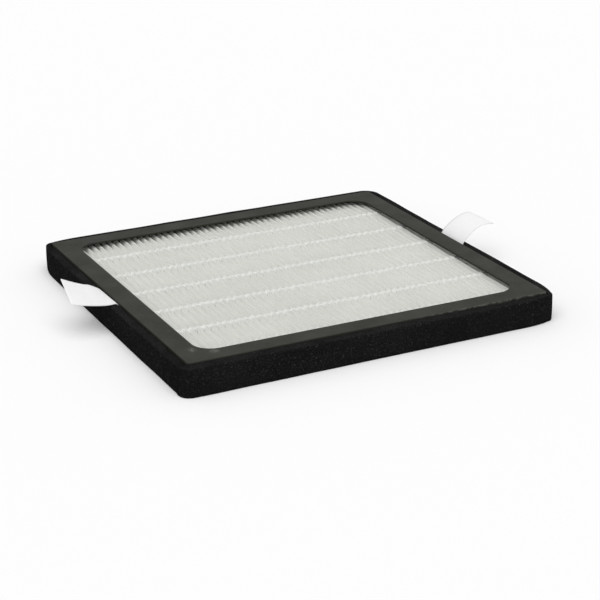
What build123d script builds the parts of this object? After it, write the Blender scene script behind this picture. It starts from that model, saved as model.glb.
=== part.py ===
from build123d import *
import math
import os

# A flat high-efficiency air filter panel that lies on its open side.
# X runs across the pleats, Y along them and Z up. The origin is the middle of the underside.
# All sizes are in millimetres.

# Frame moulding: a shallow tray whose flange borders the clean side
frame_length = 174.8
frame_width = 168.5
frame_height = 13.3
frame_wall = 1.4
frame_corner_radius = 1.5
cavity_corner_radius = 0.8
flange_width = 9.75
flange_thickness = 0.9
opening_radius = 9.0
outer_edge_round = 0.4
opening_edge_round = 0.3
foot_chamfer = 0.3

# Ribs under the flange, which the pack rests against at its cut ends
rib_thickness = 1.0
rib_length = 4.5
rib_pitch = 24.0

# Pleated pack: one sheet of media folded back and forth, as many pleats as fit the frame.
# Each fold is an even number of flats. The gaps are from the pack to the frame wall.
pleat_pitch = 3.26
media_thickness = 0.4
fold_inner_radius = 0.15
fold_flats = 4
pack_side_gap = 6.0
pack_end_gap = 3.35
pack_recess = 2.6
pack_foot_gap = 0.8

# Hot-melt separator beads laid across the pleats
bead_count = 6
bead_pitch = 25.4
bead_first_y = 58.5
bead_width = 1.5
bead_crown = 0.35
bead_depth = 1.8
bead_overhang = 0.7

# Edge sealant between the pack and the frame wall
sealant_height = 5.7

# Foam seal wrapped round the frame as one strip
foam_thickness = 4.6
foam_step = 0.6
foam_corner_radius = 10.0
foam_tight_corner_radius = 5.0
foam_edge_round = 0.9
foam_joint_gap = 0.4
foam_joint_x = 32.0

# Ribbon pull tabs, glued between the frame wall and the foam
tab_width = 20.0
tab_thickness = 0.3
tab_glued_length = 9.7
tab_bend_radius = 1.5
tab_reach = 20.0
tab_slot_clearance = 0.2
tab_slot_play = 0.05
left_tab_y = 3.4
left_tab_rise_deg = 20.0
right_tab_y = -2.0
right_tab_rise_deg = 48.0
right_tab_end_deg = 1.0

# Sizes that follow from the ones above
opening_length = frame_length - 2 * flange_width
opening_width = frame_width - 2 * flange_width
cavity_length = frame_length - 2 * frame_wall
cavity_width = frame_width - 2 * frame_wall
flange_underside = frame_height - flange_thickness
foam_top = frame_height - foam_step
panel_length = frame_length + 2 * foam_thickness
panel_width = frame_width + 2 * foam_thickness
fold_outer_radius = fold_inner_radius + media_thickness
fold_mid_radius = fold_inner_radius + media_thickness / 2
ridge_top = frame_height - pack_recess
upper_fold_z = ridge_top - fold_outer_radius
lower_fold_z = pack_foot_gap + fold_outer_radius
pleat_count = int((cavity_length - 2 * pack_side_gap) // pleat_pitch)
pack_span = pleat_count * pleat_pitch
pack_length = cavity_width - 2 * pack_end_gap
rib_height = flange_underside - ridge_top

# Lean of each pleat face from upright: the face is tangent to the folds at both its ends
fold_centre_run = pleat_pitch / 2
fold_centre_drop = upper_fold_z - lower_fold_z
fold_centre_distance = math.hypot(fold_centre_run, fold_centre_drop)
centre_line_lean = math.atan2(fold_centre_run, fold_centre_drop)
pleat_lean = centre_line_lean - math.asin(2 * fold_mid_radius / fold_centre_distance)


def fold_corners(centre_x, centre_z, radius, sign):
    """Corners of a face over one fold, left to right; sign is 1 on a ridge and -1 in a valley."""
    turn = math.pi - 2 * pleat_lean
    corners = []
    for index in range(fold_flats + 1):
        angle = math.pi - pleat_lean - index * turn / fold_flats
        corners.append((centre_x + radius * math.cos(angle), centre_z + sign * radius * math.sin(angle)))
    return corners


def sheet_face(ridge_radius, valley_radius):
    """Corners of one face of the folded sheet, from the middle of the first valley to that of the last."""
    corners = []
    for index in range(pleat_count + 1):
        valley_x = index * pleat_pitch - pack_span / 2
        corners += fold_corners(valley_x, lower_fold_z, valley_radius, -1)
        if index < pleat_count:
            corners += fold_corners(valley_x + pleat_pitch / 2, upper_fold_z, ridge_radius, 1)
    half_fold = fold_flats // 2
    return corners[half_fold:-half_fold]


# Frame: walls, flange with its rounded opening, and the ribs under the flange
with BuildPart() as frame:
    with BuildSketch():
        Rectangle(frame_length, frame_width)
        fillet(vertices(), frame_corner_radius)
    extrude(amount=frame_height)
    with BuildSketch():
        Rectangle(cavity_length, cavity_width)
        fillet(vertices(), cavity_corner_radius)
    extrude(amount=flange_underside, mode=Mode.SUBTRACT)
    with BuildSketch(Plane.XY.offset(flange_underside)):
        Rectangle(opening_length, opening_width)
        fillet(vertices(), opening_radius)
    extrude(amount=flange_thickness, mode=Mode.SUBTRACT)
    top_face = faces().sort_by(Axis.Z)[-1]
    fillet(top_face.outer_wire().edges(), outer_edge_round)
    top_face = faces().sort_by(Axis.Z)[-1]
    fillet(top_face.inner_wires()[0].edges(), opening_edge_round)
    foot_face = faces().sort_by(Axis.Z)[0]
    chamfer(foot_face.outer_wire().edges(), foot_chamfer)
    ribs_along_x = int(cavity_length // rib_pitch)
    ribs_along_y = int(cavity_width // rib_pitch)
    with BuildSketch(Plane.XY.offset(ridge_top)):
        with GridLocations(rib_pitch, cavity_width - rib_length, ribs_along_x, 2):
            Rectangle(rib_thickness, rib_length)
        with GridLocations(cavity_length - rib_length, rib_pitch, 2, ribs_along_y):
            Rectangle(rib_length, rib_thickness)
    extrude(amount=rib_height)
frame.part.label = "frame"

# Pleated media: the folded section, drawn as its two faces, and run the length of the pleats
upper_face = sheet_face(fold_outer_radius, fold_inner_radius)
lower_face = sheet_face(fold_inner_radius, fold_outer_radius)
with BuildPart() as pleated_media:
    with BuildSketch(Plane.XZ.offset(-pack_length / 2)):
        with BuildLine():
            Polyline(*upper_face, *reversed(lower_face), close=True)
        make_face()
    extrude(amount=pack_length)
pleated_media.part.label = "pleated_media"

# Sealant: a ring that fills the gap between the pack's edges and the frame wall
with BuildPart() as edge_sealant:
    with BuildSketch(Plane.XY.offset(pack_foot_gap)):
        Rectangle(cavity_length, cavity_width)
        fillet(vertices(), cavity_corner_radius)
        Rectangle(pack_span, pack_length, mode=Mode.SUBTRACT)
    extrude(amount=sealant_height)
edge_sealant.part.label = "edge_sealant"

# Section of an upper separator bead: a bar over the ridges with a tooth down each valley
bead_half_length = (pack_span - pleat_pitch) / 2 + fold_outer_radius + bead_overhang
tooth_root = (fold_outer_radius - fold_outer_radius * math.sin(pleat_lean)) / math.cos(pleat_lean)
tooth_tip = tooth_root + bead_depth * math.tan(pleat_lean)
tooth_outline = [
    (tooth_root - pleat_pitch / 2, ridge_top),
    (pleat_pitch / 2 - tooth_root, ridge_top),
    (pleat_pitch / 2 - tooth_tip, ridge_top - bead_depth),
    (tooth_tip - pleat_pitch / 2, ridge_top - bead_depth),
]
with BuildSketch(Plane.XZ) as upper_bead_section:
    with Locations((0, ridge_top)):
        Rectangle(2 * bead_half_length, bead_crown, align=(Align.CENTER, Align.MIN))
    with GridLocations(pleat_pitch, 1, pleat_count - 1, 1):
        Polygon(*tooth_outline, align=None)

# Section of a lower bead: a bar laid across the folds of the open side
with BuildSketch(Plane.XZ) as lower_bead_section:
    with Locations((0, pack_foot_gap)):
        Rectangle(2 * bead_half_length, bead_crown, align=(Align.CENTER, Align.MAX))

# Separator beads, numbered from the far end of the pleats
bead_sections = {"top": upper_bead_section, "base": lower_bead_section}
beads = []
for side, section in bead_sections.items():
    for index in range(bead_count):
        bead_y = bead_first_y - index * bead_pitch
        with BuildPart() as glue_bead:
            with BuildSketch(Plane.XZ.offset(-bead_y - bead_width / 2)):
                add(section.sketch_local)
            extrude(amount=bead_width)
        glue_bead.part.label = f"glue_bead_{side}_{index + 1}"
        beads.append(glue_bead)

# Foam seal: a strip bent round the frame, with a pocket behind each tab and one butt joint.
# The front left corner is bent tighter than the other three.
with BuildPart() as foam_seal:
    with BuildSketch():
        Rectangle(panel_length, panel_width)
        corners = vertices().sort_by(lambda corner: corner.X + corner.Y)
        fillet(corners[1:], foam_corner_radius)
        front_left_corner = vertices().sort_by(lambda corner: corner.X + corner.Y)[0]
        fillet(front_left_corner, foam_tight_corner_radius)
    extrude(amount=foam_top)
    strip_edges = faces().filter_by(Axis.Z).edges()
    fillet(strip_edges, foam_edge_round)
    with BuildSketch():
        Rectangle(frame_length, frame_width)
        fillet(vertices(), frame_corner_radius)
    extrude(amount=foam_top, mode=Mode.SUBTRACT)
    slot_depth = tab_thickness + tab_slot_play
    slot_width = tab_width + 2 * tab_slot_clearance
    slot_bottom = foam_top - tab_glued_length - tab_slot_clearance
    with BuildSketch(Plane.XY.offset(slot_bottom)):
        with Locations((-(frame_length + slot_depth) / 2, left_tab_y)):
            Rectangle(slot_depth, slot_width)
        with Locations(((frame_length + slot_depth) / 2, right_tab_y)):
            Rectangle(slot_depth, slot_width)
    extrude(amount=foam_top - slot_bottom, mode=Mode.SUBTRACT)
    with BuildSketch():
        with Locations((foam_joint_x, (frame_width + foam_thickness) / 2)):
            Rectangle(foam_joint_gap, foam_thickness + foam_joint_gap)
    extrude(amount=foam_top, mode=Mode.SUBTRACT)
foam_seal.part.label = "foam_seal"

tab_face_x = (frame_length + tab_thickness) / 2
tab_foot_z = foam_top - tab_glued_length
tab_bend_z = foam_top + tab_slot_play

# Left tab: up out of the joint, over the foam and straight out on a shallow rise
left_turn = math.radians(90 - left_tab_rise_deg)
left_bend_end = (
    -tab_face_x - tab_bend_radius * (1 - math.cos(left_turn)),
    tab_bend_z + tab_bend_radius * math.sin(left_turn),
)
left_run = frame_length / 2 + tab_reach + left_bend_end[0]
left_tip = (
    left_bend_end[0] - left_run,
    left_bend_end[1] + left_run * math.tan(math.radians(left_tab_rise_deg)),
)
with BuildPart() as pull_tab_left:
    with BuildLine(Plane.XZ.offset(-left_tab_y)):
        foot = Line((-tab_face_x, tab_foot_z), (-tab_face_x, tab_bend_z))
        bend = TangentArc(foot @ 1, left_bend_end, tangent=foot % 1)
        Line(bend @ 1, left_tip)
    with BuildSketch(Plane((-tab_face_x, left_tab_y, tab_foot_z), x_dir=(0, 1, 0), z_dir=(0, 0, 1))):
        Rectangle(tab_width, tab_thickness)
    sweep()
pull_tab_left.part.label = "pull_tab_left"

# Right tab: up out of the joint on a steep rise that curls over until it is level
right_turn = math.radians(90 - right_tab_rise_deg)
right_bend_end = (
    tab_face_x + tab_bend_radius * (1 - math.cos(right_turn)),
    tab_bend_z + tab_bend_radius * math.sin(right_turn),
)
right_run = frame_length / 2 + tab_reach - right_bend_end[0]
start_sine = math.sin(math.radians(right_tab_rise_deg))
end_sine = math.sin(math.radians(right_tab_end_deg))
start_cosine = math.cos(math.radians(right_tab_rise_deg))
end_cosine = math.cos(math.radians(right_tab_end_deg))
curl_radius = right_run / (start_sine - end_sine)
right_tip = (
    right_bend_end[0] + right_run,
    right_bend_end[1] + curl_radius * (end_cosine - start_cosine),
)
with BuildPart() as pull_tab_right:
    with BuildLine(Plane.XZ.offset(-right_tab_y)):
        foot = Line((tab_face_x, tab_foot_z), (tab_face_x, tab_bend_z))
        bend = TangentArc(foot @ 1, right_bend_end, tangent=foot % 1)
        TangentArc(bend @ 1, right_tip, tangent=bend % 1)
    with BuildSketch(Plane((tab_face_x, right_tab_y, tab_foot_z), x_dir=(0, 1, 0), z_dir=(0, 0, 1))):
        Rectangle(tab_width, tab_thickness)
    sweep()
pull_tab_right.part.label = "pull_tab_right"

os.makedirs("parts", exist_ok=True)
pieces = [frame, pleated_media, edge_sealant, foam_seal, pull_tab_left, pull_tab_right]
for piece in pieces + beads:
    export_step(piece.part, f"parts/{piece.part.label}.step")
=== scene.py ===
import math

import bpy
from bpy.props import FloatProperty, FloatVectorProperty, IntProperty, PointerProperty
from mathutils import Matrix, Vector, noise


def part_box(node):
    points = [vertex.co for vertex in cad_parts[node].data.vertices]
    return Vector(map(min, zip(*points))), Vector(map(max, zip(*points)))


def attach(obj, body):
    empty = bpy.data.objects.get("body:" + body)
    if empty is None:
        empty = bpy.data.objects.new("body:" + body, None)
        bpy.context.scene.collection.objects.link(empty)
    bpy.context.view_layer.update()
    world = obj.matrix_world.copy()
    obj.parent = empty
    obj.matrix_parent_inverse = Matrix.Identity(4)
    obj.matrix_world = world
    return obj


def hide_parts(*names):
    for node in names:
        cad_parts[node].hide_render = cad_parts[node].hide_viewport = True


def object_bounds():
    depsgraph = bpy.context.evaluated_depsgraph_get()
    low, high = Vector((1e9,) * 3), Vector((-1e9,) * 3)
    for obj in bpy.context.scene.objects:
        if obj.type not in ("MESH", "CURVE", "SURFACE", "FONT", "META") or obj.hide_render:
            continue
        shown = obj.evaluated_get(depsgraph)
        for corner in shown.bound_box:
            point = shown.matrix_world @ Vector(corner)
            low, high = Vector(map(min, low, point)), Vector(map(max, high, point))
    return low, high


bl_info = {
    "name": "Pleated filter panel",
    "version": (1, 0, 0),
    "blender": (4, 5, 0),
    "location": "View3D > Sidebar > Filter panel",
    "description": "Dresses a flat pleated air filter panel with its foam seal and ribbon tabs",
    "category": "Add Mesh",
}

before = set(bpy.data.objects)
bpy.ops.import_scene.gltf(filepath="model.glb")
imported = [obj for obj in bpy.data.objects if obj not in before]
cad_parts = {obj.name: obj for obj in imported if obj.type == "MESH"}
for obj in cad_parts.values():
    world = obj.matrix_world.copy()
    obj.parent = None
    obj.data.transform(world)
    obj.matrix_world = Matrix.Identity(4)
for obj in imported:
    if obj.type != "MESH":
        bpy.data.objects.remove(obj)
cad_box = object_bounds()

MM = 0.001
BODY = "root"

frame_low, frame_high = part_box("frame")
pack_low, pack_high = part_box("pleated_media")
foam_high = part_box("foam_seal")[1]
top_beads = sorted(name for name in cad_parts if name.startswith("glue_bead_top_"))
base_beads = sorted(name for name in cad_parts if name.startswith("glue_bead_base_"))


# Sizes and colours that a user would change: lengths in millimetres, angles in degrees

def setting(kind, scale=1, **fixed):
    """Gives a short way to write a kind of setting; scale is the unit of its defaults."""
    def write(name, default, description):
        return kind(name=name, description=description, default=default * scale, **fixed)
    return write


length = setting(FloatProperty, MM, unit="LENGTH", precision=5)
angle = setting(FloatProperty, math.radians(1), subtype="ANGLE")
colour = setting(FloatVectorProperty, subtype="COLOR", min=0, max=1)
share = setting(FloatProperty, subtype="FACTOR", min=0, max=1)
number = setting(FloatProperty)


def count(name, default, least, description):
    return IntProperty(name=name, description=description, default=default, min=least)


class MediaSettings(bpy.types.PropertyGroup):
    pitch: length("Pleat pitch", 3.26, "Distance from one ridge to the next")
    thickness: length("Sheet thickness", 0.4, "Thickness of the filter sheet")
    fold_radius: length("Fold radius", 0.32, "Radius of the middle of the sheet over a fold")
    fold_segments: count("Fold segments", 4, 2, "Flats round each fold")
    rows: count("Rows", 56, 8, "Steps along the pleats")
    sway: length("Ridge sway", 0.11, "How far a ridge strays sideways between the glue lines")
    sink: length("Ridge sink", 0.10, "How far a ridge rises or falls along its length")
    loose_shift: length(
        "Loose ridge shift", 0.65, "How far the last ridge leans before a glue line")
    loose_sag: length("Loose ridge sag", 0.5, "How far the last ridge sinks before a glue line")
    loose_from: length("Loose from", -43, "The last ridges lean and sink from here to the far end")
    loose_ridges: count("Loose ridges", 4, 0, "Ridges that lean and sink at the right end")
    buried: length("Buried depth", 0.5, "How deep the last folds stand in the sealant")
    end_reach: length("End reach", 3.0, "How far the pleats' ends run into the sealant")
    see_through: share("Translucence", 0.30, "Share of the light that the sheet lets through")
    ragged: length("Ragged ends", 0.22, "How far the cut ends of the pleats differ")
    face_tint: colour("Face colour", (0.96, 0.966, 0.938), "Off-white of the pleats' faces")
    # Painted shade: a greyer off-white along the folds, on the crests and the valley floors
    fold_shade_tint: colour("Ridge colour", (0.785, 0.791, 0.753), "Greyer off-white of the ridges")


class GlueSettings(bpy.types.PropertyGroup):
    crown: length("Crown", 0.09, "Height of the glue over a ridge")
    half_width: length("Half width on a ridge", 1.7, "Half the width of a line on a ridge")
    valley_half_width: length("Half width in a valley", 2.1, "Half the width between two ridges")
    valley_sag: length("Sag", 0.35, "How far the glue sags between two ridges")
    shoulder: length("Shoulder", 3.4, "How deep the glue's sides reach between two ridges")
    run_out: length("Run-out", 2.4, "How far the top lines run on under the right flange")
    tint: colour("Glue colour", (0.715, 0.722, 0.69), "Off-white of the hot-melt glue")


class FoamSettings(bpy.types.PropertyGroup):
    corner_radius: length("Corner radius", 5.0, "Outer radius at the front left corner")
    tight_radius: length("Tight corner radius", 3.3, "Outer radius at the two corners drawn thin")
    loose_radius: length("Loose corner radius", 8.0, "Outer radius at the far right corner")
    left_pull: length("Far left pull", 1.85, "How much thinner the far left corner is")
    right_pull: length("Front right pull", 2.05, "How much thinner the front right corner is")
    pull_length: length("Pull length", 15.0, "Distance from a corner at full thickness")
    edge_round: length("Edge rounding", 0.9, "Rounding of the strip's upper outer edge")
    foot_round: length("Foot rounding", 0.6, "Rounding of the strip's lower outer edge")
    foot_spread: length("Foot spread", 1.2, "How far the foot stands out at the front left")
    foot_spread_end: length("Foot spread end", 35.0, "Place where the front's foot is upright")
    seam_round: length("Seam rounding", 0.35, "Rounding where the strip meets the frame")
    joint_x: length("Joint", 32.0, "Place of the butt joint on the far side")
    joint_gap: length("Joint gap", 0.4, "Gap between the two ends of the strip")
    waviness: length("Waviness", 0.16, "How far the strip's faces stray from flat")
    groove: length("Groove", 0.8, "Gap between strip and frame along the left and right sides")
    groove_depth: length("Groove depth", 2.2, "Depth of that gap")
    seam_waviness: length("Seam waviness", 0.22, "How far its top strays beside the frame")
    cell: length("Cell size", 0.42, "Size of the foam's cells")
    speck_tint: colour(
        "Speck colour", (0.075, 0.075, 0.078), "Paler grey of cells that catch the light")
    tint: colour("Foam colour", (0.0080, 0.0080, 0.0080), "Black of the foam")


class RibbonSettings(bpy.types.PropertyGroup):
    width: length("Ribbon width", 20.0, "Width of the pull tabs")
    thickness: length("Ribbon thickness", 0.3, "Thickness of the ribbon")
    left_length: length("Left ribbon length", 33.9, "Cut length, glued end included")
    right_length: length("Right ribbon length", 31.4, "Cut length, glued end included")
    thread: length("Thread pitch", 0.34, "Distance between the ribbon's threads")
    tint: colour("Ribbon colour", (0.97, 0.972, 0.968), "White of the ribbon")


class FinishSettings(bpy.types.PropertyGroup):
    frame_tint: colour("Frame colour", (0.027, 0.028, 0.0225), "Dark grey of the frame")
    # Paler grey of rubbed edges all round, and of the painted highlight along the front edge
    worn_and_highlight_tint: colour("Worn colour", (0.12, 0.12, 0.11), "Paler grey where edges are rubbed")
    sealant_tint: colour("Sealant colour", (0.10, 0.10, 0.095), "Grey of the sealant")
    # Colour of the two paler patches beside the opening's front left corner
    pale_patch_tint: colour(
        "Smudge colour", (0.10, 0.10, 0.09), "Grey of the glue smudges on the flange")
    wear: share("Edge wear", 0.35, "How much of the frame's edges is rubbed")
    dust: share("Dust", 0.10, "How much fine dust lies on upward faces")


class StageSettings(bpy.types.PropertyGroup):
    camera_x: length("Camera X", -343.4, "Camera position across the pleats")
    camera_y: length("Camera Y", -707.5, "Camera position along the pleats")
    camera_z: length("Camera Z", 300.5, "Camera height")
    azimuth: angle("Camera azimuth", -26.245, "Direction the camera looks from, from the front")
    elevation: angle("Camera elevation", 21.141, "How far the camera looks down")
    roll: angle("Camera roll", -0.61, "Tilt of the picture")
    focal: number("Focal length", 107.73, "Focal length in millimetres")
    sky: number("Sky strength", 0.52, "Soft light from all round")
    lamp: number("Lamp strength", 1.72, "Strength of the overhead lamp")
    lamp_azimuth: angle("Lamp azimuth", -31, "Direction the lamp shines from, from the front")
    lamp_elevation: angle("Lamp elevation", 61, "Height of the lamp above the horizon")
    lamp_spread: angle("Lamp spread", 70, "Apparent size of the lamp; larger is softer")
    floor_half: length("Floor half size", 4000, "Half the side of the floor")
    floor_tint: colour("Floor colour", (0.99, 0.99, 0.99), "Pale floor")
    bounce_tint: colour(
        "Bounce colour", (0.70, 0.70, 0.70), "Colour the floor throws on the object")


# Sizes that belong to the way the pieces are made; a WAVE is the length of smooth waves

NOISE_GAIN = 1.6  # brings the smooth noise to about -1 to 1

PINCH_REACH = 9 * MM  # a ridge strays freely this far from a glue line
SWAY_WAVE = 22 * MM
SINK_WAVE = 30 * MM
SINK_BIAS = 0.4  # ridges sink more often than they rise
LOOSE_BEND = 1.2  # above 1, a loose ridge leans late on its way to the next line
LOOSE_RETURN = 0.10  # share of the way in which it comes back at that line
SHARP_FOLD = 60  # sharper edges of the sheet stay crisp, in degrees

GLUE_COLUMNS = 10  # rings of a glue line for each pleat
GLUE_ROUND = 12  # points round a glue line
GLUE_TIP = 0.05 * MM  # keeps a line's tips blunt
GLUE_TAPER = 0.9 * MM  # length over which a line's ends narrow
GLUE_STRAY = 0.18 * MM  # how far a line strays sideways
GLUE_UNDERSIDE = 0.35 * MM  # depth of the glue below its skin

FRAME_CORNER = 1.5 * MM  # radius of the strip's inner face round the frame's corners
CORNER_STEPS = 10
PULL_STEPS = 5  # steps in which the strip gets thinner towards a corner
STRIP_STEP = 1.4 * MM  # least step along the strip's straight stretches
ROUND_STEPS = 4
FACE_STEPS = 5
STRIP_INSET = 0.05 * MM  # the strip's faces lie this much inside its solid on average
STRIP_BULGE = 0.10 * MM  # how far the outer face bulges halfway up
STRIP_BUMPS = 0.05 * MM  # height of its small bumps
FACE_WAVE = 17 * MM
TOP_WAVE = 23 * MM
BUMP_WAVE = 4 * MM
SEAM_WAVES = (9 * MM, 3.5 * MM)  # of the strip's top beside the frame
GROOVE_WAVE = 15 * MM
LEFT_FOOT_SHARE = 0.04  # share of the foot's spread along the left side
LEAST_GROOVE = 0.02 * MM  # gap along the front and the far side
SHARP_FOAM = 50  # sharper edges of the strip stay crisp, in degrees
POCKET_SLACK = 0.05 * MM  # room for a ribbon behind the strip
POCKET_RAMP = 1.2 * MM  # the strip comes back to the frame over this length

GLUED_LENGTH = 9.7 * MM  # length of a ribbon between frame and strip
MOUTH_DEPTH = 0.6 * MM  # a ribbon is free from this far below the strip's top
GLUED_STEPS = 12
CURVE_STEPS = 60
BEND_STEPS = 4  # the curve's first steps, drawn straight from the mouth instead
SMOOTHINGS = 6
RIBBON_ROWS = 48
RIBBON_COLUMNS = 16

# Control points of each ribbon's long edges, from the joint to the free end, in millimetres
LEFT_FAR_EDGE = (
    (-87.6, 13.3, 12.6), (-101.0, 10.2, 21.0), (-90.5, 10.3, 14.2), (-108.3, 9.3, 22.9))
LEFT_NEAR_EDGE = (
    (-87.6, -6.7, 12.7), (-90.6, -6.7, 13.7), (-90.0, -9.8, 12.5), (-110.4, -10.0, 17.5))
RIGHT_FAR_EDGE = (
    (87.6, 9.7, 12.9), (97.5, 9.6, 22.6), (104.2, 9.6, 21.0), (103.6, 9.5, 21.0))
RIGHT_NEAR_EDGE = (
    (87.6, -10.3, 12.9), (96.5, -9.9, 22.6), (100.9, -10.5, 21.2), (104.9, -10.6, 20.9))

# Two paler patches beside the opening's front left corner, each with its place and half sizes
PALE_PATCHES = (
    ((-80.0 * MM, -71.8 * MM, 13.3 * MM), (2.2 * MM, 3.2 * MM, 1.0 * MM)),
    ((-72.1 * MM, -76.8 * MM, 13.3 * MM), (2.8 * MM, 2.9 * MM, 1.0 * MM)),
)
# Painted highlight along the right part of the frame's front edge, where that edge catches the
# light: from where, and over what length
HIGHLIGHT_FROM_X = 18 * MM
HIGHLIGHT_FADE = 15 * MM
# Distances behind that edge where the painted highlight on the edge and the painted highlight on
# its rim start and are full
EDGE_HIGHLIGHT_BAND = (1.6 * MM, 0.8 * MM)
RIM_HIGHLIGHT_BAND = (0.7 * MM, 0.3 * MM)
# Depths below the pack's faces where the painted shade along the folds starts and is full
FOLD_SHADE_BAND = (1.1 * MM, 0.1 * MM)
# Distances from the ribbon's edge where its thicker selvage starts and is full
SELVAGE_BAND = (1.2 * MM, 0.8 * MM)
DUST_ON_FRAME = (0.33, 0.33, 0.31)
DUST_ON_FOAM = (0.20, 0.20, 0.19)
FLOOR_GAP = 0.02 * MM  # the floor lies this far below the part


# Meshes

def add_piece(name, points, faces, smooth=True):
    mesh = bpy.data.meshes.new(name)
    mesh.from_pydata([tuple(p) for p in points], [], faces)
    mesh.validate()
    mesh.update()
    if smooth:
        mesh.shade_smooth()
    piece = bpy.data.objects.new(name, mesh)
    bpy.context.scene.collection.objects.link(piece)
    return piece


def paint(piece, material):
    """Makes a material the only one on a piece."""
    piece.data.materials.clear()
    piece.data.materials.append(material)


def dress(piece, material, node_name):
    """Gives a piece its material, puts it on the body and lets it stand for its CAD node."""
    paint(piece, material)
    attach(piece, BODY)
    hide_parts(node_name)


def sharpen(piece, degrees):
    """Keeps edges sharper than the given angle crisp under smooth shading."""
    mesh = piece.data
    limit = math.radians(degrees)
    crisp = mesh.attributes.new("sharp_edge", "BOOLEAN", "EDGE")
    sides = {}
    for polygon in mesh.polygons:
        for key in polygon.edge_keys:
            sides.setdefault(key, []).append(polygon.normal)
    values = []
    for edge in mesh.edges:
        normals = sides.get(edge.key, [])
        values.append(len(normals) == 2 and normals[0].angle(normals[1], 0) > limit)
    crisp.data.foreach_set("value", values)


def ripple(x, y, z=0.0):
    """Smooth noise from about -1 to 1; the arguments are in wavelengths."""
    return noise.noise(Vector((x, y, z))) * NOISE_GAIN


def ripple_at(point, wave, layer=0.0):
    """Smooth noise at a point in plan; each layer has waves of its own."""
    return ripple(point.x / wave, point.y / wave, layer)


def ring_faces(rings, section):
    """Quads between neighbouring rings of points, each ring a closed loop of section points."""
    faces = []
    for i in range(rings - 1):
        a = i * section
        b = a + section
        for j in range(section):
            k = (j + 1) % section
            faces.append((a + j, a + k, b + k, b + j))
    return faces


def rod_faces(rings, section):
    """Faces of a rod: quads between its rings, and a cap on the first and the last ring."""
    last = (rings - 1) * section
    caps = [tuple(range(section)), tuple(last + j for j in reversed(range(section)))]
    return ring_faces(rings, section) + caps


# Node trees

def link(tree, source, target):
    tree.links.new(source, target)


def fill(tree, socket, value):
    """Links a socket to another one, or sets its own value."""
    if isinstance(value, bpy.types.NodeSocket):
        tree.links.new(value, socket)
    else:
        socket.default_value = value


def node(tree, kind, **values):
    """Adds a node; values name its settings, or its sockets with _ for a space."""
    made = tree.nodes.new(kind)
    for key, value in values.items():
        if hasattr(made, key):
            setattr(made, key, value)
        else:
            fill(tree, made.inputs[key.replace("_", " ")], value)
    return made


def maths(tree, operation, first, second=0.0, clamp=False):
    made = node(tree, "ShaderNodeMath", operation=operation, use_clamp=clamp)
    fill(tree, made.inputs[0], first)
    fill(tree, made.inputs[1], second)
    return made.outputs[0]


def product(tree, first, *others):
    for other in others:
        first = maths(tree, "MULTIPLY", first, other)
    return first


def vector_maths(tree, operation, first, *others):
    """The vector result of an operation, or its value where it puts out a single number."""
    made = node(tree, "ShaderNodeVectorMath", operation=operation)
    for index, value in enumerate((first, *others)):
        fill(tree, made.inputs[index], value)
    return made.outputs["Value" if operation in ("LENGTH", "DOT_PRODUCT") else "Vector"]


def mix_colour(tree, factor, first, second, blend="MIX"):
    made = node(tree, "ShaderNodeMix", data_type="RGBA", blend_type=blend)
    fill(tree, made.inputs[0], factor)
    for index, value in ((6, first), (7, second)):
        if not isinstance(value, bpy.types.NodeSocket):
            value = (*value[:3], 1.0)
        fill(tree, made.inputs[index], value)
    return made.outputs[2]


def mix_shader(tree, factor, first, second):
    made = node(tree, "ShaderNodeMixShader")
    for index, value in enumerate((factor, first, second)):
        fill(tree, made.inputs[index], value)
    return made.outputs[0]


def spread(tree, value, low, high, to_low=0.0, to_high=1.0):
    """Maps low..high to to_low..to_high and clamps."""
    made = node(tree, "ShaderNodeMapRange", Value=value, From_Min=low, From_Max=high,
                To_Min=to_low, To_Max=to_high)
    return made.outputs["Result"]


def object_place(tree):
    return node(tree, "ShaderNodeTexCoord").outputs["Object"]


def clouds(tree, place, scale, detail, roughness=0.5):
    made = node(tree, "ShaderNodeTexNoise", Vector=place, Scale=scale, Detail=detail,
                Roughness=roughness)
    return made.outputs[0]


def seen_directly(tree):
    """1 for rays of the camera, of gloss and of clear glass, which all show the background."""
    rays = node(tree, "ShaderNodeLightPath").outputs
    seen = maths(tree, "MAXIMUM", rays["Is Camera Ray"], rays["Is Glossy Ray"])
    return maths(tree, "MAXIMUM", seen, rays["Is Transmission Ray"])


def built_once(kind, name):
    """Lets a builder of a material or node group give back the one that is already there."""
    def wrap(build):
        def give():
            return getattr(bpy.data, kind).get(name) or build(name)
        return give
    return wrap


def new_group(name, inputs, outputs):
    """A node group whose inputs have a default, and whose outputs are all single numbers."""
    kind = "NodeSocketFloat"
    group = bpy.data.node_groups.new(name, "ShaderNodeTree")
    for label, default in inputs:
        socket = group.interface.new_socket(name=label, in_out="INPUT", socket_type=kind)
        socket.default_value = default
    for label in outputs:
        group.interface.new_socket(name=label, in_out="OUTPUT", socket_type=kind)
    enter, leave = group.nodes.new("NodeGroupInput"), group.nodes.new("NodeGroupOutput")
    return group, enter.outputs, leave.inputs


def use_group(tree, group, **values):
    return node(tree, "ShaderNodeGroup", node_tree=group, **values).outputs


@built_once("node_groups", "Fine grain")
def grain_group(name):
    """Fine grain, with a slow variation beside it."""
    inputs = [("Grain Scale", 3000.0), ("Patch Scale", 60.0)]
    group, enter, leave = new_group(name, inputs, ["Height", "Patches"])
    place = object_place(group)
    link(group, clouds(group, place, enter["Grain Scale"], 4.0, 0.6), leave["Height"])
    link(group, clouds(group, place, enter["Patch Scale"], 3.0, 0.55), leave["Patches"])
    return group


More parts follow.
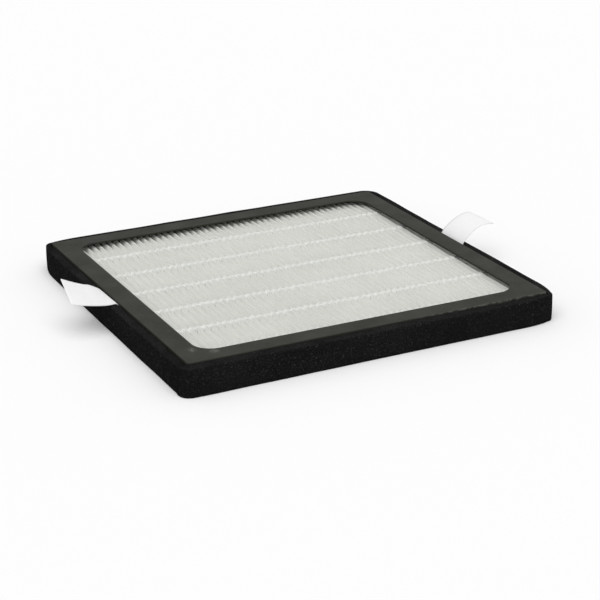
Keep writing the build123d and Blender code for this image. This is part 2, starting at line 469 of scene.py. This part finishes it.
@built_once("node_groups", "Edge wear")
def wear_group(name):
    """Broken wear along sharp edges."""
    inputs = [("Width", 0.4 * MM), ("Amount", 0.4), ("Break Scale", 250.0)]
    group, enter, leave = new_group(name, inputs, ["Mask"])
    rounded = node(group, "ShaderNodeBevel", samples=4, Radius=enter["Width"]).outputs["Normal"]
    plain = node(group, "ShaderNodeNewGeometry").outputs["Normal"]
    edge = spread(group, vector_maths(group, "DOT_PRODUCT", rounded, plain), 0.985, 0.90)
    breaks = clouds(group, object_place(group), enter["Break Scale"], 5.0, 0.65)
    broken = spread(group, breaks, 0.42, 0.66)
    link(group, product(group, edge, broken, enter["Amount"]), leave["Mask"])
    return group


@built_once("node_groups", "Settled dust")
def dust_group(name):
    """Fine dust that settles on upward faces."""
    group, enter, leave = new_group(name, [("Amount", 0.1), ("Speck Scale", 900.0)], ["Mask"])
    place = object_place(group)
    normal = node(group, "ShaderNodeNewGeometry").outputs["Normal"]
    up = node(group, "ShaderNodeSeparateXYZ", Vector=normal).outputs["Z"]
    haze = spread(group, clouds(group, place, 70.0, 4.0), 0.35, 0.75)
    dots = spread(group, clouds(group, place, enter["Speck Scale"], 2.0), 0.62, 0.78)
    both = maths(group, "ADD", product(group, haze, 0.5), dots, clamp=True)
    upward = spread(group, up, 0.3, 0.95)
    link(group, product(group, both, upward, enter["Amount"]), leave["Mask"])
    return group


# Materials

def new_material(name, roughness, specular):
    material = bpy.data.materials.new(name)
    material.use_nodes = True
    tree = material.node_tree
    shader = tree.nodes["Principled BSDF"].inputs
    shader["Roughness"].default_value = roughness
    shader["Specular IOR Level"].default_value = specular
    return material, tree, shader


def soften(shader, weight, radius, scale):
    """Lets light scatter below the surface."""
    shader["Subsurface Weight"].default_value = weight
    shader["Subsurface Radius"].default_value = radius
    shader["Subsurface Scale"].default_value = scale


def bump(tree, shader, height, distance, strength):
    made = node(tree, "ShaderNodeBump", Strength=strength, Distance=distance, Height=height)
    link(tree, made.outputs["Normal"], shader["Normal"])
    return made.outputs["Normal"]


def in_patches(tree, grain, first, second):
    """Two colours that change over slow patches."""
    return mix_colour(tree, spread(tree, grain["Patches"], 0.3, 0.7), first, second)


def multiplied(tree, first, second):
    return mix_colour(tree, 1.0, first, second, "MULTIPLY")


def pale_patch(tree, place, spot, half_size):
    """Soft broken mask of a paler mark at a spot, of the given half sizes."""
    away = vector_maths(tree, "SUBTRACT", place, spot)
    scaled = vector_maths(tree, "DIVIDE", away, half_size)
    inside = spread(tree, vector_maths(tree, "LENGTH", scaled), 1.0, 0.25)
    return product(tree, inside, spread(tree, clouds(tree, place, 600.0, 4.0), 0.35, 0.6, 0.2, 1.0))


@built_once("materials", "moulded_frame")
def frame_material(name):
    finish = bpy.context.scene.panel_finish
    material, tree, shader = new_material(name, 0.7, 0.12)
    place = object_place(tree)
    grain = use_group(tree, grain_group(), Grain_Scale=2600.0, Patch_Scale=45.0)

    split = node(tree, "ShaderNodeSeparateXYZ", Vector=place).outputs
    right = spread(tree, split["X"], HIGHLIGHT_FROM_X, HIGHLIGHT_FROM_X + HIGHLIGHT_FADE)
    front = spread(tree, split["Y"], *(frame_low[1] + behind for behind in EDGE_HIGHLIGHT_BAND))
    # Edge wear all round, raised on the right part of the front edge by painted highlight
    wear_and_highlight_amount = maths(tree, "ADD", finish.wear, product(tree, front, right), clamp=True)
    wear = use_group(tree, wear_group(), Width=0.35 * MM, Amount=wear_and_highlight_amount, Break_Scale=260.0)
    # Broken paler rim along the front edge: painted highlight
    rim_highlight = spread(tree, split["Y"], *(frame_low[1] + behind for behind in RIM_HIGHLIGHT_BAND), 0.0, 0.6)
    rim_highlight_breaks = spread(tree, clouds(tree, place, 330.0, 4.0, 0.7), 0.42, 0.58)
    worn_and_highlit = maths(tree, "MAXIMUM", wear["Mask"], product(tree, rim_highlight, right, rim_highlight_breaks))

    tint = Vector(finish.frame_tint)
    top_coat = in_patches(tree, grain, tint * 0.93, tint * 1.07)
    for spot, half_size in PALE_PATCHES:
        mark = pale_patch(tree, place, spot, half_size)
        top_coat = mix_colour(tree, mark, top_coat, finish.pale_patch_tint)
    # Edges paler from wear, and from painted highlight along the front edge
    rubbed = mix_colour(tree, worn_and_highlit, top_coat, finish.worn_and_highlight_tint)
    dust = use_group(tree, dust_group(), Amount=finish.dust, Speck_Scale=1300.0)
    link(tree, mix_colour(tree, dust["Mask"], rubbed, DUST_ON_FRAME), shader["Base Color"])
    link(tree, spread(tree, grain["Patches"], 0.25, 0.75, 0.66, 0.78), shader["Roughness"])
    bump(tree, shader, grain["Height"], 0.04 * MM, 0.5)
    return material


@built_once("materials", "potting_sealant")
def sealant_material(name):
    material, tree, shader = new_material(name, 0.5, 0.4)
    grain = use_group(tree, grain_group(), Grain_Scale=700.0, Patch_Scale=35.0)
    tint = Vector(bpy.context.scene.panel_finish.sealant_tint)
    cloudy = mix_colour(tree, grain["Patches"], tint * 0.8, tint * 1.25)
    link(tree, cloudy, shader["Base Color"])
    link(tree, spread(tree, grain["Patches"], 0.3, 0.7, 0.38, 0.6), shader["Roughness"])
    bump(tree, shader, grain["Patches"], 0.4 * MM, 0.6)
    return material


@built_once("materials", "filter_sheet")
def media_material(name):
    """Fibrous sheet that lets part of the light through; from inside, all of it passes."""
    media = bpy.context.scene.panel_media
    material, tree, shader = new_material(name, 0.9, 0.2)
    grain = use_group(tree, grain_group(), Grain_Scale=2400.0, Patch_Scale=28.0)
    height = node(tree, "ShaderNodeSeparateXYZ", Vector=object_place(tree)).outputs["Z"]
    middle = (pack_low[2] + pack_high[2]) / 2
    half_pack = (pack_high[2] - pack_low[2]) / 2
    from_middle = maths(tree, "ABSOLUTE", maths(tree, "SUBTRACT", height, middle))
    # Painted shade: the folds at the top and the bottom of the pack, crests and valley floors, are
    # greyer
    ridge = spread(tree, from_middle, *(half_pack - depth for depth in FOLD_SHADE_BAND))
    tint = mix_colour(tree, ridge, media.face_tint, media.fold_shade_tint)
    fibres = multiplied(tree, tint, spread(tree, grain["Height"], 0.3, 0.7, 0.96, 1.03))
    base = multiplied(tree, fibres, in_patches(tree, grain, (0.97, 0.97, 0.965), (1, 1, 1)))
    link(tree, base, shader["Base Color"])
    link(tree, spread(tree, grain["Height"], 0.2, 0.8, 0.82, 0.95), shader["Roughness"])
    uneven = bump(tree, shader, grain["Height"], 0.08 * MM, 0.6)

    through = node(tree, "ShaderNodeBsdfTranslucent", Color=base, Normal=uneven).outputs[0]
    surface = tree.nodes["Principled BSDF"].outputs[0]
    outside = mix_shader(tree, media.see_through, surface, through)
    inside = node(tree, "ShaderNodeBsdfTransparent").outputs[0]
    backfacing = node(tree, "ShaderNodeNewGeometry").outputs["Backfacing"]
    both = mix_shader(tree, backfacing, outside, inside)
    link(tree, both, tree.nodes["Material Output"].inputs["Surface"])
    return material


@built_once("materials", "hot_melt_glue")
def glue_material(name):
    material, tree, shader = new_material(name, 0.42, 0.45)
    soften(shader, 1.0, (1.0, 1.0, 0.95), 0.5 * MM)
    grain = use_group(tree, grain_group(), Grain_Scale=900.0, Patch_Scale=300.0)
    tint = Vector(bpy.context.scene.panel_glue.tint)
    cloudy = mix_colour(tree, grain["Patches"], tint * 0.94, tint * 1.04)
    link(tree, cloudy, shader["Base Color"])
    link(tree, spread(tree, grain["Height"], 0.3, 0.7, 0.34, 0.5), shader["Roughness"])
    bump(tree, shader, grain["Patches"], 0.1 * MM, 0.5)
    return material


@built_once("materials", "cellular_foam")
def foam_material(name):
    foam = bpy.context.scene.panel_foam
    finish = bpy.context.scene.panel_finish
    material, tree, shader = new_material(name, 0.95, 0.0)
    place = object_place(tree)
    cells, big_cells = (
        node(tree, "ShaderNodeTexVoronoi", Vector=place, Scale=scale / foam.cell, feature="F1")
        .outputs["Distance"] for scale in (1, 0.37))
    grain = use_group(tree, grain_group(), Grain_Scale=1800.0, Patch_Scale=40.0)
    tint = Vector(foam.tint)
    cell_colour = mix_colour(tree, spread(tree, cells, 0.15, 0.75), tint * 0.55, tint * 1.7)
    specks = spread(tree, clouds(tree, place, 0.6 / foam.cell, 3.0, 0.75), 0.57, 0.76)
    lit = mix_colour(tree, specks, cell_colour, foam.speck_tint)
    dust = use_group(tree, dust_group(), Amount=finish.dust, Speck_Scale=1500.0)
    dusty = mix_colour(tree, dust["Mask"], lit, DUST_ON_FOAM)
    patches = in_patches(tree, grain, (0.85, 0.85, 0.85), (1.15, 1.15, 1.15))
    link(tree, multiplied(tree, dusty, patches), shader["Base Color"])
    link(tree, spread(tree, grain["Height"], 0.3, 0.7, 0.88, 1.0), shader["Roughness"])
    height = maths(tree, "ADD", cells, product(tree, big_cells, 0.6))
    bump(tree, shader, height, 0.25 * MM, 0.8)
    return material


@built_once("materials", "woven_ribbon")
def ribbon_material(name):
    ribbon = bpy.context.scene.panel_ribbon
    material, tree, shader = new_material(name, 0.7, 0.3)
    soften(shader, 0.4, (1.0, 1.0, 1.0), 0.8 * MM)
    place = node(tree, "ShaderNodeUVMap", uv_map="cloth").outputs["UV"]
    across = node(tree, "ShaderNodeSeparateXYZ", Vector=place).outputs
    turn = 2 * math.pi / ribbon.thread
    warp, weft = (maths(tree, "SINE", product(tree, across[axis], turn)) for axis in "XY")
    weave = spread(tree, product(tree, warp, weft), -1, 1)
    edge = maths(tree, "ABSOLUTE", across["X"])
    selvage = spread(tree, edge, *(ribbon.width / 2 - reach for reach in SELVAGE_BAND))
    grain = use_group(tree, grain_group(), Grain_Scale=1500.0, Patch_Scale=90.0)
    tint = Vector(ribbon.tint)
    threads = mix_colour(tree, weave, tint * 0.95, tint * 1.02)
    patches = in_patches(tree, grain, (0.96, 0.96, 0.96), (1, 1, 1))
    link(tree, multiplied(tree, threads, patches), shader["Base Color"])
    link(tree, spread(tree, grain["Height"], 0.3, 0.7, 0.62, 0.8), shader["Roughness"])
    height = maths(tree, "ADD", weave, product(tree, selvage, 0.6))
    bump(tree, shader, height, 0.06 * MM, 0.5)
    return material


def floor_material():
    """Pale to the camera, and greyer where the floor lights the object."""
    stage = bpy.context.scene.panel_stage
    material, tree, shader = new_material("pale_floor", 1.0, 0.0)
    cloud = clouds(tree, object_place(tree), 1.5, 2.0)
    pale = mix_colour(tree, cloud, Vector(stage.floor_tint) * 0.995, stage.floor_tint)
    lit = mix_colour(tree, seen_directly(tree), stage.bounce_tint, pale)
    link(tree, lit, shader["Base Color"])
    return material


# Filter sheet

def fold_lean(media, low_z, high_z):
    """Lean of the pleat faces from upright, tangent to the folds at both ends."""
    run = media.pitch / 2
    drop = high_z - low_z
    return math.atan2(run, drop) - math.asin(2 * media.fold_radius / math.hypot(run, drop))


def station_pinch(y, stations):
    """0 at a glue line and 1 away from it, so that pleats keep their place where they are glued."""
    nearest = min(abs(y - s) for s in stations)
    return min(1.0, nearest / PINCH_REACH) ** 0.7


def looseness(media, y, stations):
    """0 at and behind a glue line, growing to 1 just behind the next one towards the front."""
    ahead = [s for s in stations if s < y]
    behind = [s for s in stations if s >= y]
    if y < media.loose_from or not ahead or not behind:
        return 0.0
    near, far = max(ahead), min(behind)
    way = (far - y) / (far - near)
    return way ** LOOSE_BEND * min(1.0, (1 - way) / LOOSE_RETURN)


def middle_y(node_name):
    low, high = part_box(node_name)
    return (low[1] + high[1]) / 2


def ridge_shift(media, y, fold, from_right, pinch, loose):
    """How far a ridge strays from its even place, sideways and in height."""
    waves = ripple(fold * 0.53, y / SINK_WAVE, 7.3) - SINK_BIAS
    across, up = 0.0, media.sink * waves * (0.4 + 0.6 * pinch)
    if from_right < media.loose_ridges:
        slack = loose * (1 - from_right / media.loose_ridges)
        across -= media.loose_shift * slack
        up -= media.loose_sag * slack
    return across, up


def pleat_rows(media):
    """Middle line and normals of the folded sheet for each row along the pleats.

    The sheet runs on for one more pleat under the right flange, where its end stands in the
    sealant, and its first and last row stand in the sealant too.
    """
    pleats = round((pack_high[0] - pack_low[0]) / media.pitch)
    last_fold = 2 * pleats + 2
    half = media.thickness / 2
    high_z = pack_high[2] - half - media.fold_radius
    low_z = pack_low[2] + half + media.fold_radius
    lean = fold_lean(media, low_z, high_z)
    stations = [middle_y(name) for name in top_beads]
    first_y, last_y = pack_low[1], pack_high[1]
    places = [first_y + (last_y - first_y) * row / media.rows for row in range(media.rows + 1)]
    places = [first_y - media.end_reach, *places, last_y + media.end_reach]
    half_fold = media.fold_segments // 2
    rows = []
    for row, y in enumerate(places):
        at_end = row in (0, len(places) - 1)
        outward = 1 if row else -1
        pinch = station_pinch(y, stations)
        loose = looseness(media, y, stations)
        points = []
        for fold in range(last_fold + 1):
            ridge = fold % 2 == 1
            sign = 1 if ridge else -1
            x = pack_low[0] + fold * media.pitch / 2
            z = high_z if ridge else low_z
            if 0 < fold < last_fold:
                x += media.sway * pinch * ripple(fold * 0.71, y / SWAY_WAVE)
            if ridge:
                from_right = (last_fold - 1 - fold) // 2
                across, up = ridge_shift(media, y, fold, from_right, pinch, loose)
                x += across
                z += up
            elif at_end or fold >= 2 * pleats:
                z += media.buried
            first_step = half_fold if fold == 0 else 0
            last_step = half_fold if fold == last_fold else media.fold_segments
            for step in range(first_step, last_step + 1):
                turn = math.pi - lean - step * (math.pi - 2 * lean) / media.fold_segments
                normal = Vector((math.cos(turn), 0, sign * math.sin(turn)))
                centre = Vector((x, y, z)) + normal * media.fold_radius
                if at_end:
                    cut = ripple(fold * 1.7, row, step * 0.3) - 0.6
                    centre.y += media.ragged * 0.5 * cut * outward
                points.append((centre, normal * sign))
        rows.append(points)
    return rows


def build_media():
    media = bpy.context.scene.panel_media
    half = media.thickness / 2
    rows = pleat_rows(media)
    points = []
    for row in rows:
        points += [centre + normal * half for centre, normal in row]
        points += [centre - normal * half for centre, normal in reversed(row)]
    width = len(rows[0])
    section = 2 * width
    faces = ring_faces(len(rows), section)
    last = (len(rows) - 1) * section
    for j in range(width - 1):
        faces.append((j, section - 1 - j, section - 2 - j, j + 1))
        faces.append((last + j, last + j + 1, last + section - 2 - j, last + section - 1 - j))
    piece = add_piece("pleated_sheet", points, faces)
    sharpen(piece, SHARP_FOLD)
    dress(piece, media_material(), "pleated_media")


# Glue lines

def build_glue_line(name, node_name, upward):
    """A line of hot-melt glue over the ridges, fuller on each ridge and sagging between them."""
    glue = bpy.context.scene.panel_glue
    pitch = bpy.context.scene.panel_media.pitch
    low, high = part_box(node_name)
    first_x = low[0]
    last_x = high[0] + (glue.run_out if upward else 0)
    y_mid = middle_y(node_name)
    side = 1 if upward else -1
    ridge_z = pack_high[2] if upward else pack_low[2]
    phase = 0 if upward else 0.5
    seed = y_mid / MM * 0.37 + (0 if upward else 50)
    columns = round((last_x - first_x) / pitch * GLUE_COLUMNS)
    points = []
    for column in range(columns + 1):
        x = first_x + (last_x - first_x) * column / columns
        turn = (x - pack_low[0]) / pitch - 0.5 + phase
        crest = 0.5 + 0.5 * math.cos(2 * math.pi * turn)
        pleat = math.floor(turn + 0.5)
        end = min(1.0, (min(x - first_x, last_x - x) + GLUE_TIP) / GLUE_TAPER) ** 0.5
        half_width = glue.valley_half_width
        half_width += (glue.half_width - glue.valley_half_width) * crest ** 1.5
        half_width *= 1 + 0.16 * ripple(pleat * 0.9, seed)
        half_width *= 0.35 + 0.65 * end
        y = y_mid + GLUE_STRAY * ripple(pleat * 0.31, seed, 3.1)
        crown = glue.crown * (0.85 + 0.3 * ripple(pleat * 0.77, seed, 9.4)) * end
        sag = glue.valley_sag * (1 - crest ** 0.8) * (1 + 0.25 * ripple(pleat * 0.5, seed, 5.0))
        shoulder = glue.shoulder * min(1.0, (1 - crest) / 0.4)
        for step in range(GLUE_ROUND):
            around = 2 * math.pi * step / GLUE_ROUND
            q = math.cos(around)
            z = crown * (1 - q * q) - sag - shoulder * q ** 4
            if math.sin(around) < -0.01:
                z -= GLUE_UNDERSIDE
            points.append((x, y + half_width * q, ridge_z + side * z))
    piece = add_piece(name, points, rod_faces(columns + 1, GLUE_ROUND))
    dress(piece, glue_material(), node_name)


# Foam strip

def beside_corner(sx, sy, on_short_side, distance):
    """Inner and outer point of the strip at full thickness, that far from a frame corner."""
    if on_short_side:
        y = sy * (frame_high[1] - distance)
        return Vector((sx * frame_high[0], y)), Vector((sx * foam_high[0], y))
    x = sx * (frame_high[0] - distance)
    return Vector((x, sy * frame_high[1])), Vector((x, sy * foam_high[1]))


def drawn_thin(foam, sx, sy, on_short_side, thinned):
    """Pairs of points towards a corner, over which the strip gets thinner, at first slowly."""
    pairs = []
    for step in range(PULL_STEPS):
        way = step / PULL_STEPS
        inner, outer = beside_corner(sx, sy, on_short_side, foam.pull_length * (1 - way))
        pairs.append((inner, outer + (inner - outer).normalized() * thinned * way ** 2))
    return pairs


def corner_arc(sx, sy, radius, thinned, first_angle):
    """Pairs of points round a corner."""
    inner_centre = Vector((
        sx * (frame_high[0] - FRAME_CORNER), sy * (frame_high[1] - FRAME_CORNER)))
    outer_centre = Vector((
        sx * (foam_high[0] - thinned - radius), sy * (foam_high[1] - thinned - radius)))
    pairs = []
    for step in range(CORNER_STEPS + 1):
        turn = first_angle + math.pi / 2 * step / CORNER_STEPS
        direction = Vector((math.cos(turn), math.sin(turn)))
        pairs.append((inner_centre + direction * FRAME_CORNER, outer_centre + direction * radius))
    return pairs


def strip_path(foam):
    """Pairs of inner and outer points round the frame, from one end of the strip to the other."""
    corners = [
        (-1, 1, foam.tight_radius, foam.left_pull),
        (-1, -1, foam.corner_radius, 0.0),
        (1, -1, foam.tight_radius, foam.right_pull),
        (1, 1, foam.loose_radius, 0.0),
    ]
    start_x = foam.joint_x - foam.joint_gap / 2
    end_x = foam.joint_x + foam.joint_gap / 2
    pairs = [(Vector((start_x, frame_high[1])), Vector((start_x, foam_high[1])))]
    for order, (sx, sy, radius, thinned) in enumerate(corners):
        pairs += drawn_thin(foam, sx, sy, sy == sx, thinned)
        pairs += corner_arc(sx, sy, radius, thinned, math.pi / 2 * (order + 1))
        pairs += reversed(drawn_thin(foam, sx, sy, sy != sx, thinned))
    pairs.append((Vector((end_x, frame_high[1])), Vector((end_x, foam_high[1]))))
    dense = []
    for (a, b), (c, d) in zip(pairs, pairs[1:]):
        steps = max(1, int((d - b).length / STRIP_STEP))
        for step in range(steps):
            t = step / steps
            dense.append((a.lerp(c, t), b.lerp(d, t)))
    dense.append(pairs[-1])
    return dense


def tab_pocket(inner):
    """How far the strip stands off the frame where a ribbon is glued behind it."""
    ribbon = bpy.context.scene.panel_ribbon
    if abs(abs(inner.x) - frame_high[0]) > 0.01 * MM:
        return 0.0
    edges = (LEFT_FAR_EDGE, LEFT_NEAR_EDGE) if inner.x < 0 else (RIGHT_FAR_EDGE, RIGHT_NEAR_EDGE)
    middle = (edges[0][0][1] + edges[1][0][1]) / 2 * MM
    beyond = abs(inner.y - middle) - ribbon.width / 2
    return (ribbon.thickness + POCKET_SLACK) * max(0.0, min(1.0, 1 - beyond / POCKET_RAMP))


def foot_stand_out(foam, outer, direction):
    """How far the strip's foot stands out: most at the front left, a little on the left side."""
    along = (foam.foot_spread_end - outer.x) / (foam.foot_spread_end + foam_high[0])
    front = max(0.0, -direction.y) * max(0.0, min(1.0, along))
    return foam.foot_spread * (front + LEFT_FOOT_SHARE * max(0.0, -direction.x))


def strip_section(foam, inner, outer, direction):
    """The strip's cut from base to seam, as distances out from the frame and heights."""
    thick = (outer - inner).length
    edge, base, seam = foam.edge_round, foam.foot_round, foam.seam_round
    face = thick + (foam.waviness * ripple_at(outer, FACE_WAVE) - STRIP_INSET)
    lift = foam.waviness * 0.7 * ripple_at(outer, TOP_WAVE, 4.0) - STRIP_INSET
    top = foam_high[2] + lift
    foot = foot_stand_out(foam, outer, direction)
    ring = [(0.0, seam * 0.5), (seam * 0.4, 0.0), (thick * 0.5, 0.0)]
    turns = [math.pi / 2 * step / ROUND_STEPS for step in range(ROUND_STEPS + 1)]
    ring += [(face + foot - base + base * math.sin(t), base - base * math.cos(t)) for t in turns]
    for step in range(1, FACE_STEPS):
        up = step / FACE_STEPS
        z = base + (top - edge - base) * up
        bulge = STRIP_BULGE * math.sin(math.pi * up) + foot * (1 - up)
        small = STRIP_BUMPS * ripple_at(outer, BUMP_WAVE, z / BUMP_WAVE)
        ring.append((face + bulge + small, z))
    ring += [(face - edge + edge * math.cos(t), top - edge + edge * math.sin(t)) for t in turns]

    waves = ripple_at(inner, SEAM_WAVES[0], 2.0) + 0.5 * ripple_at(inner, SEAM_WAVES[1], 6.0)
    rise = foam.seam_waviness * waves
    lip = top + rise
    open_share = max(0.12, 0.75 + 0.6 * ripple_at(inner, GROOVE_WAVE, 8.0))
    gap = foam.groove * open_share * abs(direction.x) + LEAST_GROOVE
    return ring + [
        (thick * 0.62, top),
        (thick * 0.36, top + rise * 0.4),
        (gap + seam, lip),
        (gap + seam * 0.45, lip - seam * 0.12),
        (gap + seam * 0.12, lip - seam * 0.45),
        (gap, lip - seam * 1.3),
        (0.0, lip - seam * 1.3 - foam.groove_depth),
    ]


def build_foam():
    foam = bpy.context.scene.panel_foam
    path = strip_path(foam)
    points = []
    for inner, outer in path:
        across = outer - inner
        direction = across / across.length
        inner = inner + direction * tab_pocket(inner)
        for out, z in strip_section(foam, inner, outer, direction):
            place = inner + direction * out
            points.append((place.x, place.y, max(z, 0.0)))
    piece = add_piece("foam_strip", points, rod_faces(len(path), len(points) // len(path)))
    sharpen(piece, SHARP_FOAM)
    dress(piece, foam_material(), "foam_seal")


# Ribbons

def bezier(points, t):
    a, b, c, d = points
    s = 1 - t
    return a * (s ** 3) + b * (3 * s * s * t) + c * (3 * s * t * t) + d * (t ** 3)


def smoothed(line):
    inner = [(a + b * 2 + c) / 4 for a, b, c in zip(line, line[1:], line[2:])]
    return [line[0], *inner, line[-1]]


def even_steps(line, steps):
    """The line's points again, in steps of one length."""
    lengths = [0.0]
    for a, b in zip(line, line[1:]):
        lengths.append(lengths[-1] + (b - a).length)
    made = []
    for k in range(steps + 1):
        want = lengths[-1] * k / steps
        j = 1
        while j < len(lengths) - 1 and lengths[j] < want:
            j += 1
        t = (want - lengths[j - 1]) / max(lengths[j] - lengths[j - 1], 1e-9)
        made.append(line[j - 1].lerp(line[j], t))
    return made


def ribbon_edge(side, edge):
    """One long edge of a ribbon: up out of the joint, then along its curve, in even steps."""
    curve = [Vector(p) * MM for p in edge]
    wall = side * (frame_high[0] + bpy.context.scene.panel_ribbon.thickness / 2)
    foot = Vector((wall, curve[0].y, foam_high[2] - GLUED_LENGTH))
    mouth = Vector((wall, curve[0].y, foam_high[2] - MOUTH_DEPTH))
    free = [bezier(curve, t / CURVE_STEPS) for t in range(CURVE_STEPS + 1)][BEND_STEPS:]
    line = [foot.lerp(mouth, t / GLUED_STEPS) for t in range(GLUED_STEPS)]
    line += [mouth.lerp(free[0], t / BEND_STEPS) for t in range(BEND_STEPS)]
    line += free
    for _ in range(SMOOTHINGS):
        line = smoothed(line)
    return even_steps(line, RIBBON_ROWS)


def build_ribbon(name, node_name, side, far_edge, near_edge, total):
    ribbon = bpy.context.scene.panel_ribbon
    far_line = ribbon_edge(side, far_edge)
    near_line = ribbon_edge(side, near_edge)
    points = []
    places = []
    for row, (far, near) in enumerate(zip(far_line, near_line)):
        for column in range(RIBBON_COLUMNS + 1):
            t = column / RIBBON_COLUMNS
            points.append(far.lerp(near, t))
            places.append(((t - 0.5) * ribbon.width, total * row / RIBBON_ROWS))
    faces = []
    for row in range(RIBBON_ROWS):
        for column in range(RIBBON_COLUMNS):
            a = row * (RIBBON_COLUMNS + 1) + column
            b = a + RIBBON_COLUMNS + 1
            faces.append((a, a + 1, b + 1, b))
    piece = add_piece(name, points, faces)
    layer = piece.data.uv_layers.new(name="cloth")
    for loop in piece.data.loops:
        layer.data[loop.index].uv = places[loop.vertex_index]
    body = piece.modifiers.new("thickness", "SOLIDIFY")
    body.thickness = ribbon.thickness
    body.offset = 0.0
    dress(piece, ribbon_material(), node_name)


# Stage

def seen_from(azimuth, elevation):
    """Direction from the object to a place seen at that azimuth from the front and that height."""
    level = math.cos(elevation)
    return Vector((math.sin(azimuth) * level, -math.cos(azimuth) * level, math.sin(elevation)))


def lay_floor(stage):
    half = stage.floor_half
    corners = [(-half, -half, 0), (half, -half, 0), (half, half, 0), (-half, half, 0)]
    floor = add_piece("studio_floor", corners, [(0, 1, 2, 3)], smooth=False)
    floor.location.z = cad_box[0][2] - FLOOR_GAP
    paint(floor, floor_material())


def light_sky(scene, stage):
    """Soft light from all round, which looks white where it is seen itself."""
    world = bpy.data.worlds.new("studio_sky")
    scene.world = world
    world.use_nodes = True
    tree = world.node_tree
    tree.nodes.clear()
    soft, white = (
        node(tree, "ShaderNodeBackground", Color=(1, 1, 1, 1), Strength=strength).outputs[0]
        for strength in (stage.sky, 1.0))
    sky = mix_shader(tree, seen_directly(tree), soft, white)
    node(tree, "ShaderNodeOutputWorld", Surface=sky)


def hang_lamp(scene, stage):
    data = bpy.data.lights.new("soft_lamp", "SUN")
    data.energy = stage.lamp
    data.angle = stage.lamp_spread
    lamp = bpy.data.objects.new("soft_lamp", data)
    towards = seen_from(stage.lamp_azimuth, stage.lamp_elevation)
    lamp.rotation_euler = towards.to_track_quat("Z", "Y").to_euler()
    scene.collection.objects.link(lamp)


def set_camera(scene, stage):
    data = bpy.data.cameras.new("camera")
    data.sensor_width = 36.0
    data.lens = stage.focal
    data.clip_start = 0.01
    data.clip_end = 50.0
    camera = bpy.data.objects.new("camera", data)
    back = seen_from(stage.azimuth, stage.elevation)
    level = Vector((math.cos(stage.azimuth), math.sin(stage.azimuth), 0))
    over = back.cross(level)
    right = level * math.cos(stage.roll) + over * math.sin(stage.roll)
    up = back.cross(right)
    turned = Matrix((right, up, back)).transposed().to_4x4()
    place = Matrix.Translation((stage.camera_x, stage.camera_y, stage.camera_z))
    camera.matrix_world = place @ turned
    scene.collection.objects.link(camera)
    scene.camera = camera


# Operators

class PANEL_OT_frame(bpy.types.Operator):
    """Gives the moulded frame and the sealant inside it their finish"""
    bl_idname = "filter_panel.frame_finish"
    bl_label = "Finish the frame"

    def execute(self, context):
        paint(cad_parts["frame"], frame_material())
        paint(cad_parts["edge_sealant"], sealant_material())
        return {"FINISHED"}


class PANEL_OT_media(bpy.types.Operator):
    """Folds the filter sheet into its pleats"""
    bl_idname = "filter_panel.pleated_media"
    bl_label = "Fold the media"

    def execute(self, context):
        build_media()
        return {"FINISHED"}


class PANEL_OT_glue(bpy.types.Operator):
    """Lays the glue lines that hold the pleats apart, on both sides of the pack"""
    bl_idname = "filter_panel.glue_lines"
    bl_label = "Lay the glue lines"

    def execute(self, context):
        for name in top_beads + base_beads:
            build_glue_line(name.replace("glue_bead", "glue_line"), name, name in top_beads)
        return {"FINISHED"}


class PANEL_OT_foam(bpy.types.Operator):
    """Wraps the foam strip round the frame"""
    bl_idname = "filter_panel.foam_strip"
    bl_label = "Wrap the foam"

    def execute(self, context):
        build_foam()
        return {"FINISHED"}


class PANEL_OT_ribbons(bpy.types.Operator):
    """Bends the two ribbon pull tabs out of the joint between frame and foam"""
    bl_idname = "filter_panel.pull_ribbons"
    bl_label = "Bend the ribbons"

    def execute(self, context):
        ribbon = context.scene.panel_ribbon
        left = (LEFT_FAR_EDGE, LEFT_NEAR_EDGE, ribbon.left_length)
        right = (RIGHT_FAR_EDGE, RIGHT_NEAR_EDGE, ribbon.right_length)
        build_ribbon("ribbon_left", "pull_tab_left", -1, *left)
        build_ribbon("ribbon_right", "pull_tab_right", 1, *right)
        return {"FINISHED"}


class PANEL_OT_stage(bpy.types.Operator):
    """Sets the pale floor, the soft light and the camera"""
    bl_idname = "filter_panel.stage"
    bl_label = "Set the stage"

    def execute(self, context):
        scene = context.scene
        stage = scene.panel_stage
        lay_floor(stage)
        light_sky(scene, stage)
        hang_lamp(scene, stage)
        set_camera(scene, stage)
        scene.view_settings.view_transform = "Standard"
        return {"FINISHED"}


class PANEL_PT_sidebar(bpy.types.Panel):
    """Lists the steps that dress the filter panel"""
    bl_label = "Filter panel"
    bl_idname = "PANEL_PT_sidebar"
    bl_space_type = "VIEW_3D"
    bl_region_type = "UI"
    bl_category = "Filter panel"

    def draw(self, context):
        for operator in OPERATORS:
            self.layout.operator(operator.bl_idname)


OPERATORS = (
    PANEL_OT_frame,
    PANEL_OT_media,
    PANEL_OT_glue,
    PANEL_OT_foam,
    PANEL_OT_ribbons,
    PANEL_OT_stage,
)
SETTINGS = {
    "panel_media": MediaSettings,
    "panel_glue": GlueSettings,
    "panel_foam": FoamSettings,
    "panel_ribbon": RibbonSettings,
    "panel_finish": FinishSettings,
    "panel_stage": StageSettings,
}


def register():
    for name, group in SETTINGS.items():
        bpy.utils.register_class(group)
        setattr(bpy.types.Scene, name, PointerProperty(type=group))
    for operator in OPERATORS:
        bpy.utils.register_class(operator)
    bpy.utils.register_class(PANEL_PT_sidebar)


def unregister():
    bpy.utils.unregister_class(PANEL_PT_sidebar)
    for operator in reversed(OPERATORS):
        bpy.utils.unregister_class(operator)
    for name, group in reversed(SETTINGS.items()):
        delattr(bpy.types.Scene, name)
        bpy.utils.unregister_class(group)


def main():
    register()
    bpy.ops.filter_panel.frame_finish()
    bpy.ops.filter_panel.pleated_media()
    bpy.ops.filter_panel.glue_lines()
    bpy.ops.filter_panel.foam_strip()
    bpy.ops.filter_panel.pull_ribbons()
    bpy.ops.filter_panel.stage()


if __name__ == "__main__":
    main()
